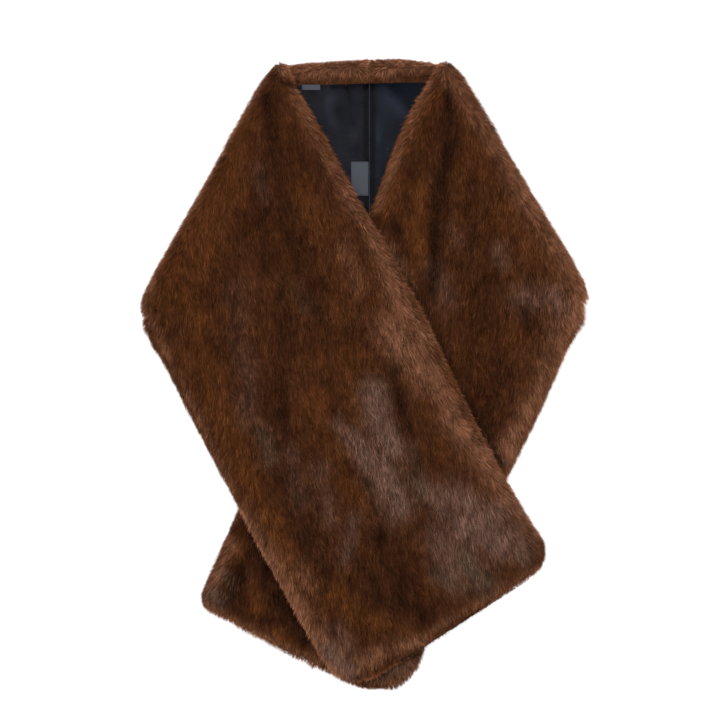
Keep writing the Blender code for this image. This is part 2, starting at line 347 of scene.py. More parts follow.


# %% [markdown]
# ## Patches of colour
#
# The pile has soft patches: dark bands below both shoulders, an orange streak down the middle, cooler grey and
# mauve areas lower down, and a tan rim. The dark paint also lays painted shadow beside the edge of the left
# front, where it lies on the right front, and painted shade in creases at the neck. The tan rim is partly
# lighter hair and partly painted edge light. A picture could be wrapped on it, but it would stretch and blur.
# The patches are brushed on instead, as strokes with a soft radius, and each hair takes its colours from the
# strokes that it lies under. Each row is x, y to x, y, radius and strength.

# %% Brush strokes on the fronts
STROKES = {
    "left": {
        # Dark patches of fur. The strokes from (-109, 359) and (-97, 349) are painted shade in the crease where
        # the roll turns onto the front.
        "dark_and_shadow": (
            (-116, 331, -111, 295, 10, 0.9), (-111, 295, -108, 247, 11, 0.75), (-108, 247, -111, 187, 17, 0.6),
            (-116, 193, -123, 136, 13, 0.55), (-90, 193, -78, 139, 16, 0.5), (-78, 139, -63, 91, 16, 0.5),
            (-96, 91, -98, 31, 14, 0.5), (-102, 55, -96, -53, 12, 0.5), (-66, 103, -56, 43, 12, 0.4),
            (-98, -41, -96, -113, 11, 0.55), (-96, -113, -78, -185, 12, 0.5), (-74, -173, -48, -233, 13, 0.55),
            (24, -197, 48, -269, 20, 0.8), (24, -269, 72, -289, 18, 1), (0, -227, 24, -263, 17, 0.6),
            (34, 4, 45, -29, 8, 0.65), (40, -23, 54, -71, 10, 0.85), (54, -71, 66, -113, 10, 0.5),
            (-18, -113, 4, -128, 8, 0.4), (24, -173, 42, -221, 12, 0.45), (-109, 359, -97, 349, 5, 0.9),
            (-97, 349, -81, 345, 4, 0.8), (-164, 91, -154, 37, 11, 0.25),
        ),
        "grey": (
            (11, -20, 21, -77, 16, 0.9), (24, -65, 39, -89, 14, 1), (-12, -77, 12, -113, 14, 0.85),
            (16, -104, 42, -159, 18, 1), (-30, -59, -12, -89, 10, 0.45), (108, -149, 162, -173, 20, 0.85),
            (124, -183, 165, -197, 23, 0.95), (174, -191, 189, -209, 17, 0.85), (88, -147, 98, -167, 14, 0.8),
            (90, -191, 108, -233, 17, 0.75), (-44, -329, -18, -356, 12, 0.75), (-30, -305, -18, -329, 10, 0.3),
            (-12, -173, -24, -221, 10, 0.35), (-144, 31, -138, -53, 14, 0.22), (-150, 103, -150, 43, 14, 0.12),
            (-90, -95, -78, -149, 12, 0.3), (-54, -113, -42, -173, 14, 0.25), (-126, 247, -120, 211, 8, 0.3),
            (72, -137, 90, -149, 11, 0.6),
        ),
        "ash": (
            (-120, -71, -111, -101, 11, 0.6), (59, -123, 69, -140, 10, 0.85), (54, -89, 64, -119, 10, 0.45),
            (120, -221, 144, -251, 16, 0.85), (90, -239, 120, -257, 12, 0.5), (186, -215, 196, -227, 8, 0.6),
            (-78, 103, -66, 79, 10, 0.25), (23, -11, 30, -41, 7, 0.4),
        ),
        "warm": (
            (-84, 235, -54, 175, 14, 0.6), (-78, 331, -72, 289, 12, 0.4), (-42, 175, -24, 103, 12, 0.5),
            (-174, 211, -222, 91, 26, 0.7), (-138, 307, -168, 235, 14, 0.7), (-234, 103, -198, 67, 17, 0.6),
            (-198, 43, -180, -29, 17, 0.6), (-180, -29, -144, -113, 14, 0.7),
            (-144, -113, -99, -197, 12, 0.95), (-99, -197, -78, -245, 12, 0.6), (-60, -29, -48, -77, 14, 0.6),
            (-30, -77, -15, -125, 10, 0.8), (-30, -125, -6, -149, 11, 0.75), (-24, 31, -6, -53, 12, 0.5),
            (72, -29, 96, -89, 10, 0.65), (-36, -257, -18, -281, 14, 0.8), (-18, -281, 42, -305, 12, 0.9),
            (42, -305, 78, -311, 10, 0.8), (18, -209, 42, -233, 12, 0.4), (-54, 25, -48, 7, 7, 0.6),
        ),
        # Lighter tan hair; where the strokes run along the edges, it is partly painted edge light.
        "tan_and_edge_light": (
            (-97, 367, -36, 365, 11, 1), (-36, 365, 5, 367, 12, 1), (-81, 337, -63, 295, 10, 0.55),
            (-63, 295, -24, 223, 10, 0.55), (-24, 223, 12, 163, 11, 0.65), (12, 163, 36, 103, 12, 0.8),
            (36, 103, 72, 37, 14, 0.95), (33, 55, 76, -5, 20, 1), (81, 7, 108, -53, 14, 1),
            (105, -53, 150, -107, 16, 1), (150, -107, 171, -149, 14, 0.85), (171, -149, 207, -191, 12, 0.9),
            (-255, 112, -266, 79, 7, 0.5), (-128, 343, -255, 115, 6, 0.5), (-262, 79, -157, -143, 6, 0.4),
            (-147, -167, -121, -221, 12, 0.95), (-118, -221, -85, -281, 16, 1), (-85, -281, -51, -329, 17, 1),
            (-51, -329, -33, -359, 13, 0.8), (-24, -351, 18, -339, 10, 0.7), (18, -335, 72, -317, 10, 0.8),
            (-78, -233, -66, -257, 12, 0.45), (78, -308, 210, -236, 6, 0.5), (-24, 151, -6, 103, 12, 0.35),
        ),
    },
    "right": {
        # Dark patches of fur, and painted shadow: the strokes from (4, 184) to (162, -107) lie beside the edge
        # of the left front, which lies on this one. The short strokes at the neck are painted shade at the foot
        # of the roll and in the parting at the seam.
        "dark_and_shadow": (
            (99, 337, 105, 301, 6, 0.9), (105, 301, 108, 277, 12, 0.8), (101, 271, 93, 241, 11, 0.95),
            (92, 241, 88, 175, 11, 0.95), (88, 175, 81, 103, 10, 0.8), (72, 91, 71, 67, 10, 0.35),
            (90, 127, 102, 103, 12, 0.3), (32, 176, 40, 173, 7, 0.85), (60, 253, 66, 241, 10, 0.4),
            (126, 169, 132, 151, 10, 0.45), (189, 79, 198, 61, 11, 0.55), (234, 67, 237, 55, 7, 0.4),
            (138, 79, 162, -5, 17, 0.25), (138, -11, 156, -29, 14, 0.3), (4, 184, 26, 146, 7, 1),
            (30, 136, 52, 103, 6, 0.6), (52, 103, 81, 49, 7, 1), (81, 49, 110, -11, 7, 1),
            (110, -11, 134, -53, 11, 1), (134, -53, 162, -107, 8, 1), (33, 357, 76, 355, 5, 0.5),
            (8, 376, 8, 355, 2, 0.6), (-126, -207, -114, -248, 16, 0.95), (-147, -236, -156, -273, 14, 0.9),
            (-171, -275, -156, -281, 8, 0.5), (-104, -267, -90, -284, 14, 1), (-80, -291, -70, -317, 12, 1),
            (-120, -293, -90, -299, 7, 0.6), (-15, -361, 6, -365, 7, 0.4),
        ),
        "grey": (
            (192, 91, 216, 91, 17, 0.45), (230, 97, 234, 79, 11, 0.6), (162, 151, 168, 133, 10, 0.4),
            (84, 127, 102, 91, 12, 0.3), (102, 175, 114, 163, 10, 0.2), (-12, -356, 42, -351, 14, 0.8),
            (-183, -263, -171, -272, 10, 0.7),
        ),
        "ash": (
            (30, 145, 40, 127, 7, 0.8), (57, 95, 78, 55, 5, 0.5), (138, -65, 150, -89, 6, 0.6),
            (-168, -239, -156, -251, 8, 0.5),
        ),
        "warm": (
            (66, 319, 42, 271, 10, 0.7), (36, 259, 24, 193, 11, 0.9), (66, 223, 72, 193, 10, 0.8),
            (54, 181, 76, 139, 10, 0.95), (78, 343, 96, 331, 10, 0.5), (126, 307, 138, 247, 14, 0.5),
            (162, 223, 210, 151, 17, 0.5), (156, 211, 168, 163, 12, 0.4), (210, 151, 246, 103, 12, 0.5),
            (246, 67, 216, -5, 12, 0.5), (174, 55, 198, -5, 14, 0.35), (-150, -203, -162, -227, 10, 0.7),
            (-132, -257, -123, -281, 10, 0.75), (-108, -311, -78, -329, 7, 0.6), (126, 271, 114, 223, 10, 0.3),
        ),
        # Lighter tan hair; where the strokes run along the edges, it is partly painted edge light.
        "tan_and_edge_light": (
            (11, 367, 33, 364, 11, 1), (33, 369, 90, 371, 10, 1), (95, 367, 186, 229, 11, 0.75),
            (186, 229, 263, 103, 16, 0.85), (261, 93, 225, 7, 20, 0.9), (222, 1, 168, -104, 14, 0.95),
            (78, 350, 48, 283, 7, 0.6), (48, 283, 16, 199, 6, 0.65), (16, 163, 36, 148, 6, 0.5),
            (48, 133, 60, 103, 6, 0.35), (-183, -257, -159, -203, 8, 0.8), (-192, -275, -138, -311, 7, 0.6),
            (-138, -311, -42, -351, 6, 0.6), (6, -370, 42, -370, 5, 0.6), (57, -347, 45, -365, 6, 0.6),
        ),
    },
}
print("strokes:", {half: sum(len(rows) for rows in kinds.values()) for half, kinds in STROKES.items()})

# %% [markdown]
# ## Where the hair is rooted
#
# A real backing holds hair everywhere, but only what lies open can be seen. Points are scattered evenly over
# the triangles of the solid, each triangle in proportion to its area, and a short ray from each point tells
# whether another layer lies on it. Those roots are left out. The underside gets fewer.

# %% Roots of the hair
TOP_DENSITY = 1.28e6  # roots on each square metre
UNDER_DENSITY = 0.35e6
UNDERSIDE = -0.3  # a root whose normal falls below this grows on the underside
ROOT_DEPTH = 6.0 * MM
ROOT_SHARE = 0.42  # a root lies no deeper than this share of the fur
EDGE_LEVEL = 0.35  # a point whose normal rises less than this belongs to an edge
EDGE_CLEAR = 4.0 * MM
EDGE_STEP = 5.0 * MM  # on a long straight fold, points lie this far apart


def triangles_of(form):
    """Corner places and corner normals of a triangulated copy."""
    flat = form.copy()
    bmesh.ops.triangulate(flat, faces=flat.faces)
    corners = np.array([[point.co for point in face.verts] for face in flat.faces])
    normals = np.array([[point.normal for point in face.verts] for face in flat.faces])
    flat.free()
    return corners, normals


def unit(vectors):
    return vectors / np.maximum(np.linalg.norm(vectors, axis=1, keepdims=True), 1e-9)


def edge_points(half):
    """A tree of the points on the open edges and folds of one half, and the way that each faces."""
    found = []
    for line in fur_forms[half].edges:
        first, last = line.verts
        if max(abs(first.normal.z), abs(last.normal.z)) > EDGE_LEVEL:
            continue
        steps = max(1, round(line.calc_length() / EDGE_STEP))
        for step in range(steps + 1):
            spot = first.co.lerp(last.co, step / steps)
            facing = first.normal.lerp(last.normal, step / steps).normalized()
            if not covered(spot, facing, EDGE_CLEAR):
                found.append((spot, facing))
    tree = KDTree(len(found))
    for index, (spot, facing) in enumerate(found):
        tree.insert(spot, index)
    tree.balance()
    facings = np.array([facing for spot, facing in found])
    facings[:, 2] = 0.0
    return tree, unit(facings)


def grow_roots(half, seed):
    """Open spots on one half of the fur: place, normal, depth, distance from the edge and its facing."""
    random = np.random.default_rng(seed)
    corners, normals = triangles_of(fur_forms[half])
    middle_normal = unit(normals.sum(axis=1))
    areas = 0.5 * np.linalg.norm(
        np.cross(corners[:, 1] - corners[:, 0], corners[:, 2] - corners[:, 0]), axis=1)
    open_share = []
    for spots, facing in zip(corners, middle_normal):
        middle = spots.mean(axis=0)
        tests = [middle, *(middle + (spots - middle) * 0.8)]
        hidden = [covered(Vector(test), Vector(facing)) for test in tests]
        open_share.append(0.0 if all(hidden) else 1.0)
    density = np.where(middle_normal[:, 2] > UNDERSIDE, TOP_DENSITY, UNDER_DENSITY) * np.array(open_share)
    wanted = areas * density
    chosen = random.choice(len(areas), size=int(wanted.sum()), p=wanted / wanted.sum())
    a, b = random.random((2, len(chosen)))
    flip = a + b > 1.0
    a[flip], b[flip] = 1.0 - a[flip], 1.0 - b[flip]
    shares = np.stack((1.0 - a - b, a, b), axis=1)[:, :, None]
    places = (corners[chosen] * shares).sum(axis=1)
    facings = unit((normals[chosen] * shares).sum(axis=1))

    edge_tree, edge_facings = edge_points(half)
    keep, depths, reaches, nearest = [], [], [], []
    for index, (spot, facing) in enumerate(zip(places, facings)):
        spot, facing = Vector(spot), Vector(facing)
        if covered(spot, facing):
            continue
        keep.append(index)
        depths.append(min(ROOT_DEPTH, ROOT_SHARE * thickness(fur_trees[half], spot, facing)))
        found = edge_tree.find(spot)
        nearest.append(found[1])
        reaches.append(found[2])
    keep = np.array(keep)
    return {
        "place": places[keep],
        "normal": facings[keep],
        "depth": np.array(depths),
        "edge": np.array(reaches),
        "edge_facing": edge_facings[np.array(nearest)],
    }


roots = {half: grow_roots(half, seed) for half, seed in (("left", 11), ("right", 12))}
for half in HALVES:
    print(half, len(roots[half]["place"]), "roots, depth", roots[half]["depth"].mean().round(4))

# %% [markdown]
# ## Which way each hair lies
#
# On a real stole the pile is brushed: it runs down the cloth, turns outwards at each edge, and gathers in
# tufts. Blender's own hair system could comb it, but it leaves curves that few other programs read. Here each
# hair gets its angle as a sum of three: soft noise for the sweep of the brush, one number for its tuft, and a
# little disorder of its own. Near an edge, the way that the edge faces is added.
#
# Long guard hairs stand a little above the rest, and stray hairs stand out at the edges. At the V, where the
# fur meets the satin, more of them reach out over it, as a fringe.

# %% Numbers for the lie of the pile
COMBED = {"left": np.radians(-80.0), "right": np.radians(-93.0)}
SWEEP, WAVE = (0.20, 60 * MM), (0.13, 18 * MM)  # turns of the hair, in radians, and how broad they are
TUFT_TURN, OWN_TURN = 0.30, 0.20
FAN_WIDTH = 34.0 * MM
FAN = 0.8  # how far hair near an edge turns towards it, and how much more some of it does
FAN_AT_EDGE, FAN_AT_FRINGE, FAN_WHERE_CALM = 1.5, 2.2, 0.9
TUFT = np.array((3.6, 9.0, 5.0)) * MM
HAIR_LENGTH = 14.5 * MM
GUARD_SHARE = 0.2
STRAY_SHARE = 0.02  # of the hair anywhere, and more of it at an edge and at a fringe
STRAY_AT_EDGE = 0.26
STRAY_AT_FRINGE = 0.30
EDGE_WIDTH = 14.0 * MM
SEAM_PARTING = 4.5 * MM

# Where the hair stands higher or lies lower than elsewhere, as strokes whose strength is in millimetres
HIGHER = {
    "left": ((-120, 350, -150, 290, 22, 2.6), (-262, 72, -260, 62, 9, 6.0), (-190, -286, -20, -372, 16, 2.0)),
    "right": ((124, 356, 150, 300, 18, 3.4), (266, 88, 261, 66, 12, 8.0), (-190, -290, -150, -308, 20, 3.0),
              (-150, -308, -60, -350, 13, 6.4), (-60, -350, 0, -372, 16, 4.0), (36, -372, 66, -340, 12, 5.5)),
}
LOWER = {
    "left": ((225, -220, 60, -322, 20, 1.2), (-112, 372, -92, 380, 12, 4.5), (-76, 350, 7, 354, 7, 1.6)),
    "right": ((92, 378, 104, 376, 10, 3.0), (-6, -374, 20, -376, 10, 3.0), (7, 354, 76, 350, 7, 1.6)),
}
# Edges that are fringed with longer hair, as strokes
FRINGED = {
    "left": ((-80, 340, 8, 182, 8, 1.0), (8, 182, 60, 84, 8, 0.8), (60, 84, 166, -114, 8, 0.3),
             (-106, 374, 6, 378, 6, 0.3), (-98, 374, -82, 352, 6, 1.0), (-80, 352, 7, 356, 5, 0.6)),
    "right": ((76, 348, 12, 190, 8, 1.0), (6, 378, 92, 378, 6, 0.3), (7, 356, 78, 356, 5, 0.6)),
}
# Where it is shorter, as strokes whose strength is the share that is gone
SHORTER = ((-92, 350, 92, 350, 13, 0.55),)
# Where the roll keeps its hair close and pointing outwards
CALM = ((-84, 379, 84, 379, 9, 1.0),)
print("hair", round(HAIR_LENGTH / MM, 1), "mm long, of which", GUARD_SHARE, "guard hair")


# %% Tufts
def tufts_of(points, seed):
    """The middle of the tuft that each point belongs to, and three random numbers of that tuft."""
    bend = np.stack([soft_noise(points, 16 * MM, seed + axis) for axis in range(3)], axis=1)
    cell = np.floor(points / TUFT + bend * (0.9, 0.35, 0.3)).astype(np.int64)
    key = (cell[:, 0] * 73856093) ^ (cell[:, 1] * 19349663) ^ (cell[:, 2] * 83492791) ^ seed
    chosen = np.random.default_rng(seed).random((4096, 3))[key % 4096]
    return (cell + 0.5) * TUFT, chosen


# %% Sorts of hair and their directions
def comb(half, seed):
    """For every root of one half: its sort, its tuft, and the way that the hair leaves it."""
    root = roots[half]
    place, normal = root["place"], root["normal"]
    random = np.random.default_rng(seed)
    count = len(place)
    edge_share = np.clip(1.0 - root["edge"] / EDGE_WIDTH, 0.0, 1.0)
    fringe = brushed(place, FRINGED[half]) * edge_share
    short, calm = brushed(place, SHORTER), brushed(place, CALM)
    kept = 1.0 - np.maximum(0.75 * short, 0.9 * calm)
    stray_share = STRAY_SHARE + (STRAY_AT_EDGE * edge_share + STRAY_AT_FRINGE * fringe) * kept
    stray = random.random(count) < stray_share
    guard = random.random(count) < GUARD_SHARE
    seam = np.clip(1.0 - np.abs(place[:, 0] - SEAM_X) / SEAM_PARTING, 0.0, 1.0) * (place[:, 1] > 60 * MM)
    tuft_middle, tuft = tufts_of(place, seed)

    turns = SWEEP[0] * soft_noise(place, SWEEP[1], seed) + WAVE[0] * soft_noise(place, WAVE[1], seed + 1)
    turns += TUFT_TURN * (tuft[:, 0] - 0.5) + random.normal(0.0, OWN_TURN, count)
    angle = COMBED[half] + turns * (1.0 - 0.8 * short)
    flow = np.stack((np.cos(angle), np.sin(angle), np.zeros(count)), axis=1)
    fan = FAN * np.clip(1.0 - root["edge"] / FAN_WIDTH, 0.0, 1.0)
    fan += random.uniform(0.0, FAN_AT_EDGE, count) * edge_share * (1.0 - short) * (1.0 - calm)
    fan += FAN_WHERE_CALM * calm
    fan += random.uniform(0.0, FAN_AT_FRINGE, count) * fringe * stray
    flow = unit(flow + fan[:, None] * root["edge_facing"])

    # Hair never grows into the cloth, and only a little away from it
    rises = (flow * normal).sum(axis=1, keepdims=True)
    flow -= (np.minimum(0.0, rises) + 0.75 * np.maximum(0.0, rises)) * normal
    flow[:, 0] += 0.12 * seam * (-1.0 if half == "left" else 1.0)

    # The tips of a tuft lean together, but not at an edge, where it would look scalloped
    toward = tuft_middle - place
    toward -= (toward * normal).sum(axis=1, keepdims=True) * normal
    toward *= 1.0 - 0.8 * edge_share[:, None]
    return {"flow": flow, "toward": toward, "tuft": tuft, "edge_share": edge_share, "fringe": fringe,
            "stray": stray, "guard": guard, "short": short, "calm": calm, "seam": seam}


# %% [markdown]
# ## How long it is and how high it stands
#
# A furrier shears the pile level, but brushing lifts it: hair at an edge stands off the cloth, guard hairs rise
# above the rest, and along the centre back seam it sinks into a groove. One length for all would look like
# felt, so each hair has its own length, and its tip its own height above the form of the solid.

# %% Lengths and heights
def cut_hair(half, lie, seed):
    """How long each hair is, and how high its tip stands above the form of the solid."""
    root = roots[half]
    place, normal = root["place"], root["normal"]
    random = np.random.default_rng(seed + 50)
    count = len(place)
    edge_share, fringe, stray = lie["edge_share"], lie["fringe"], lie["stray"]
    leaves = np.clip((lie["flow"] * root["edge_facing"]).sum(axis=1), 0.0, 1.0) * edge_share

    # Shorter on the underside, where it leaves an edge, on the roll and at the seam
    length = HAIR_LENGTH * (0.86 + 0.22 * lie["tuft"][:, 1]) * random.uniform(0.72, 1.12, count)
    length *= np.where(normal[:, 2] < UNDERSIDE, 0.75, 1.0) * (1.0 - 0.42 * leaves)
    length *= (1.0 - lie["short"] * (place[:, 2] > 8 * MM)) * (1.0 - 0.25 * lie["seam"])
    length *= np.where(stray, 1.2 + random.uniform(0.1, 0.9, count) * fringe, 1.0)

    # Height of the tip above the form of the solid, in millimetres
    stands = random.uniform(-1.8, 1.0, count) + 1.2 * (lie["tuft"][:, 2] - 0.5)
    stands += edge_share * random.uniform(-0.6, 3.4, count) * (1.0 - 0.6 * leaves) * (1.0 - 0.5 * lie["calm"])
    stands += edge_share * (brushed(place, HIGHER[half]) - brushed(place, LOWER[half]))
    stands += stray * random.uniform(0.5, 4.0, count) * (1.0 - 0.5 * leaves)
    stands += lie["guard"] * random.uniform(0.2, 1.3, count) - 1.2 * lie["seam"]
    stands -= 1.8 * edge_share * np.clip(-2.0 * normal[:, 2], 0.0, 1.0)
    return length, stands * MM


# %% [markdown]
# ## What colour each hair takes
#
# A hair's colour runs along its length, so it is looked up once, where most of it is seen, and not at its root.
# It holds the patches, and painted light and shade too: painted shadow from the dark strokes, painted edge
# light from the tan ones, and painted rim light at every edge. Noise roughens every patch, so that its border
# breaks up into single hairs.

# %% Paint of each hair
def paint(half, lie, length, seed):
    """How much of each colour a hair has. Strokes are read where the hair is seen, not at its root."""
    place = roots[half]["place"]
    random = np.random.default_rng(seed + 70)
    count = len(place)
    seen = place + 0.6 * length[:, None] * lie["flow"]
    streaks = place * (1.0, 0.4, 1.0)
    rough = 1.0 + 0.36 * soft_noise(streaks, 14 * MM, seed + 3) + 0.28 * soft_noise(streaks, 6 * MM, seed + 4)
    # The brushed patches, the tan of the edges, which is partly painted edge light, painted rim light for the
    # hair at an edge, and a mark for guard hair
    colours = {kind: np.clip(brushed(seen, rows) * rough, 0.0, 1.0) for kind, rows in STROKES[half].items()}
    edge = lie["edge_share"] ** 2
    colours["tan_and_edge_light"] = np.maximum(colours["tan_and_edge_light"], 0.45 * edge)
    colours["rim_light"] = np.maximum(edge, 0.8 * lie["fringe"] * lie["stray"])
    colours["guard"] = np.where(lie["guard"], 1.0, 0.0)
    # Light or dark, and redder or browner: first by tuft, then by hair, then in soft drifts
    shade = 0.5 + 0.30 * (lie["tuft"][:, 1] - 0.5) + random.normal(0.0, 0.22, count)
    shade += 0.12 * soft_noise(place * (1.0, 0.45, 1.0), 9 * MM, seed + 2)
    shade += 0.26 * lie["short"] + 0.14 * lie["calm"]
    hue = 0.5 + 0.5 * (lie["tuft"][:, 2] - 0.5) + 0.3 * soft_noise(place, 26 * MM, seed + 5)
    hue += random.normal(0.0, 0.2, count)
    colours["shade"], colours["hue"] = np.clip(shade, 0.0, 1.0), np.clip(hue, 0.0, 1.0)
    return colours


# %% [markdown]
# ## Hair as thin blades
#
# The hairs of a real pile are tubes too fine to see, millions of them. A flat blade of two triangles is the
# least that still tapers at both ends and bends once in its middle, so each blade stands for a few hairs. It
# starts deep in the cloth, is widest halfway along, and ends a little above the form of the solid. Every blade
# is rolled by its own angle, so that from any side some blades show their face. All the blades of one stretch
# are joined in one mesh, and each keeps its own colours as attributes, and a small place of its own in the map.

# %% Hair as thin blades
BLADE_WIDTH = 0.54 * MM
BEND_AT = 0.42  # the share of its run at which a blade bends
TIP_PULL, BEND_PULL = 0.22, 0.08  # how far the tip and the bend lean towards the middle of the tuft
ROLL = 0.8
LOWEST = 0.25 * MM  # the least height of a blade's line above the table, and of its sides
LOWEST_SIDE = 0.1 * MM


def bend_along(half, place, normal, flow, run, stands):
    """Points that follow the surface: this far along the flow and this high above the solid's form."""
    tree = fur_trees[half]
    ahead = place + flow * run[:, None]
    found = np.empty_like(place)
    risen = np.empty_like(place)
    for index, spot in enumerate(ahead):
        hit = tree.find_nearest(Vector(spot))
        found[index] = hit[0]
        risen[index] = hit[1]
    risen = unit(risen + 0.6 * normal)
    return found + risen * stands[:, None]


def blades(half, seed):
    """Four corners for every blade of one half: its start, its two sides and its tip."""
    root = roots[half]
    random = np.random.default_rng(seed + 100)
    lie = comb(half, seed)
    length, stands = cut_hair(half, lie, seed)
    colours = paint(half, lie, length, seed)
    place, normal, flow = root["place"], root["normal"], lie["flow"]
    start = place - normal * root["depth"][:, None]
    run = 0.94 * length
    tip = bend_along(half, place, normal, flow, run, stands)
    middle = bend_along(half, place, normal, flow, BEND_AT * run, 0.5 * stands - 0.35 * root["depth"])
    tip += TIP_PULL * lie["toward"]
    middle += BEND_PULL * lie["toward"]
    for line in (start, middle, tip):
        line[:, 2] = np.maximum(line[:, 2], LOWEST)
    along = unit(tip - start)
    across = unit(np.cross(along, normal))
    roll = random.normal(0.0, ROLL, len(place))
    across = across * np.cos(roll)[:, None] + np.cross(along, across) * np.sin(roll)[:, None]
    width = BLADE_WIDTH * random.uniform(0.6, 1.3, len(place)) * np.where(lie["guard"], 1.25, 1.0)
    width *= 1.0 - 0.4 * lie["stray"]
    half_width = 0.5 * width[:, None] * across
    corners = np.stack((start, middle + half_width, middle - half_width, tip), axis=1)
    corners[:, :, 2] = np.maximum(corners[:, :, 2], LOWEST_SIDE)
    return corners, place, colours


BLADE_FACES = np.array(((0, 1, 2), (2, 1, 3)))
BLADE_TIPS = np.array((0.0, 0.5, 0.5, 1.0))
CELL_CORNERS = np.array(((0.5, 0.06), (0.94, 0.5), (0.06, 0.5), (0.5, 0.94)))


def pile_piece(name, corners, place, colours, material):
    """One mesh of many blades, with the colours of its roots and a small map cell for each blade."""
    count = len(corners)
    mesh = bpy.data.meshes.new(name)
    mesh.vertices.add(count * 4)
    mesh.vertices.foreach_set("co", corners.astype(np.float32).ravel())
    faces = (BLADE_FACES[None] + 4 * np.arange(count)[:, None, None]).reshape(-1, 3)
    mesh.loops.add(faces.size)
    mesh.loops.foreach_set("vertex_index", faces.astype(np.int32).ravel())
    mesh.polygons.add(len(faces))
    mesh.polygons.foreach_set("loop_start", np.arange(0, faces.size, 3, dtype=np.int32))
    mesh.update(calc_edges=True)
    mesh.attributes.new("tip", "FLOAT", "POINT").data.foreach_set(
        "value", np.tile(BLADE_TIPS, count).astype(np.float32))
    for kind, values in colours.items():
        mesh.attributes.new(kind, "FLOAT", "POINT").data.foreach_set(
            "value", np.repeat(values, 4).astype(np.float32))
    mesh.attributes.new("root_place", "FLOAT_VECTOR", "POINT").data.foreach_set(
        "vector", np.repeat(place, 4, axis=0).astype(np.float32).ravel())
    across = int(np.ceil(np.sqrt(count)))
    cell = np.stack((np.arange(count) % across, np.arange(count) // across), axis=1)
    spots = ((cell[:, None] + CELL_CORNERS[None]) / across).reshape(-1, 2)
    mesh.uv_layers.new(name="OFBake").data.foreach_set("uv", spots[faces.ravel()].astype(np.float32).ravel())
    mesh.polygons.foreach_set("use_smooth", np.ones(len(faces), dtype=bool))
    mesh.materials.append(material)
    made = bpy.data.objects.new(name, mesh)
    bpy.context.scene.collection.objects.link(made)
    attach(made, "root")
    return made


# %% [markdown]
# ## The colour of the hair
#
# Faux fur is printed and sheared to look like a natural pelt, and the whole is streaked. Each hair is darker
# near
# its root and lighter at its tip: partly its own colour, and partly painted shade for the shadow deep in the
# pile.
# A Hair shader would need real strands. Here a plain shader takes a red-brown ramp over soft noise, and over it
# come the brushed colours one by one, as thin layers of paint: orange, salmon, mauve, grey and nearly black.
# The nearly black layer is partly painted shadow, and the tan layer partly painted edge light. Guard hairs are
# a little lighter and cooler, and hair at an edge is made lighter still, as painted rim light. The gloss is
# kept very low, because a white sky would lay a grey veil over it.

# %% Brushed colours on a red-brown base
PAINTS = (
    # The tan paint is partly lighter hair and partly painted edge light.
    ("warm", (0.110, 0.0355, 0.0090)), ("tan_and_edge_light", (0.185, 0.0740, 0.0360)), ("grey", (0.150, 0.0780, 0.0560)),
    # The dark paint is partly dark fur and partly painted shadow.
    ("ash", (0.094, 0.0560, 0.0350)), ("dark_and_shadow", (0.024, 0.0078, 0.0030)),
)
hair, hair_tree, hair_shader = new_material(
    "fur_hair", 0.5, Specular_IOR_Level=0.02, Sheen_Weight=0.02, Sheen_Tint=(0.8, 0.45, 0.25, 1.0))
brush = {kind: attribute(hair_tree, kind).outputs["Fac"]
         for kind in ("tip", "shade", "hue", "dark_and_shadow", "grey", "ash", "warm", "tan_and_edge_light", "rim_light", "guard")}
root_place = attribute(hair_tree, "root_place").outputs["Vector"]
stretched = node(hair_tree, "ShaderNodeMapping", {"Vector": root_place, "Scale": (1.0, 0.4, 1.0)}).outputs[0]
blotches = node(hair_tree, "ShaderNodeTexNoise", {"Vector": stretched, "Scale": 34.0, "Detail": 3.0}).outputs[0]
flecks = node(hair_tree, "ShaderNodeTexNoise", {"Vector": stretched, "Scale": 140.0, "Detail": 2.0}).outputs[0]


def times(value, factor):
    return maths(hair_tree, "MULTIPLY", value, factor)


orange_brown = ramp(hair_tree, blotches, (
    (0.32, (0.050, 0.0145, 0.0036)), (0.50, (0.069, 0.0210, 0.0056)), (0.68, (0.092, 0.0290, 0.0085))))
colour = blend_colours(hair_tree, times(brush["hue"], 0.6), orange_brown, (0.062, 0.0218, 0.0104))
for kind, paint_colour in PAINTS:
    colour = blend_colours(hair_tree, brush[kind], colour, paint_colour)
silver = times(brush["guard"], maths(hair_tree, "ADD", 0.02, times(maths(
    hair_tree, "MAXIMUM", brush["tan_and_edge_light"], maths(hair_tree, "MAXIMUM", brush["grey"], brush["ash"])), 0.2)))
colour = blend_colours(hair_tree, silver, colour, (0.26, 0.150, 0.100))

# %% Light and dark along the hair
lightness = maths(hair_tree, "ADD", 0.30, times(brush["shade"], 1.4))
lightness = times(lightness, maths(hair_tree, "ADD", 0.50, flecks))
# Hair at an edge is made up to twice as light: painted rim light.
lightness = times(lightness, maths(hair_tree, "ADD", 1.0, brush["rim_light"]))
lightness = times(lightness, maths(hair_tree, "ADD", 0.93, times(brush["guard"], 0.38)))
# Darker at the root and lighter at the tip: partly the hair's own colour, partly painted shade deep in the
# pile.
hair_colour_and_root_shade = ramp(hair_tree, brush["tip"], (
    (0.0, (0.42, 0.40, 0.38)), (0.5, (0.80, 0.79, 0.77)), (1.0, (1.45, 1.46, 1.50))))
colour = blend_colours(hair_tree, 1.0, colour, hair_colour_and_root_shade, "MULTIPLY")
brightness = node(hair_tree, "ShaderNodeVectorMath", {0: colour}, operation="SCALE")
hair_tree.links.new(lightness, brightness.inputs["Scale"])
hair_tree.links.new(brightness.outputs[0], hair_shader.inputs["Base Color"])
print("hair material:", len(hair_tree.nodes), "nodes")

# %% [markdown]
# ## Growing the pile
#
# The blades of one half are sorted from the neck down and cut into a few pieces of the same size, because a
# piece of more than 200,000 triangles is hard to work with. Each piece rides on the stole with its cloth.

